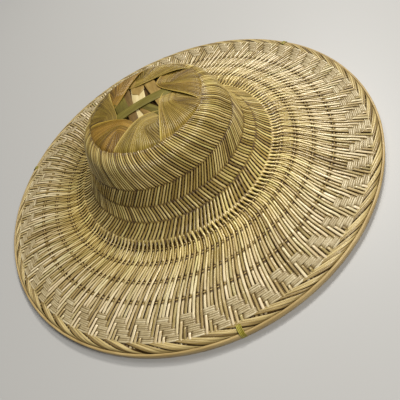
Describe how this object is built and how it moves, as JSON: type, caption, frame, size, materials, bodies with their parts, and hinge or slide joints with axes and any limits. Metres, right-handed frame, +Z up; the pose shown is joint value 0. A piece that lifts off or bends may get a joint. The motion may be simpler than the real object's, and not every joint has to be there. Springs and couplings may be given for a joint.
{
  "type": "woven bamboo hat",
  "caption": "Wide-brimmed woven bamboo sun hat with a low round crown, a swirled strip rosette on top, a twilled band and a hooped rim over an inner lining and a head ring.",
  "frame": {"origin": "on the rest plane, under the middle of the crown", "axes": "+Z up through the middle of the crown; the hat is round about +Z, and -Y is the side that faces the viewer"},
  "size_m": [0.4599, 0.46, 0.1015],
  "materials": {
    "splint": "split bamboo, satin",
    "under_splint": "split bamboo, satin, in shade",
    "centre_strip": "bamboo strip with its skin on, satin",
    "weft": "thin round bamboo, satin",
    "twill_weft": "flat peeled bamboo, satin",
    "border": "split bamboo, satin",
    "hoop": "smooth bamboo slat, satin",
    "head_ring": "smooth bamboo slat, satin",
    "tie": "green bamboo lashing, satin",
    "leaf": "dried bamboo leaf, matt",
    "cage": "bamboo strip, satin"
  },
  "bodies": {
    "root": {"crown_strip_1": "splint", "crown_strip_2": "splint", "crown_strip_3": "splint", "crown_strip_4": "splint", "crown_strip_5": "splint", "crown_strip_6": "splint", "crown_strip_7": "splint", "under_strip_1": "under_splint", "under_strip_2": "under_splint", "under_strip_3": "under_splint", "under_strip_4": "under_splint", "under_strip_5": "under_splint", "under_strip_6": "under_splint", "under_strip_7": "under_splint", "centre_strip_1": "centre_strip", "centre_strip_2": "centre_strip", "centre_strip_3": "centre_strip", "weft_ring_1": "weft", "weft_ring_2": "weft", "weft_ring_3": "weft", "weft_ring_4": "weft", "twill_course_1": "twill_weft", "twill_course_2": "twill_weft", "twill_course_3": "twill_weft", "twill_course_4": "twill_weft", "border": "border", "rim_hoop_outer": "hoop", "rim_hoop_inner": "hoop", "rim_ties": "tie", "leaf_lining_crown": "leaf", "leaf_lining_brim": "leaf", "inner_cage_crown": "cage", "inner_cage_brim": "cage", "head_ring": "head_ring", "head_ring_ties": "tie"}
  },
  "joints": []
}
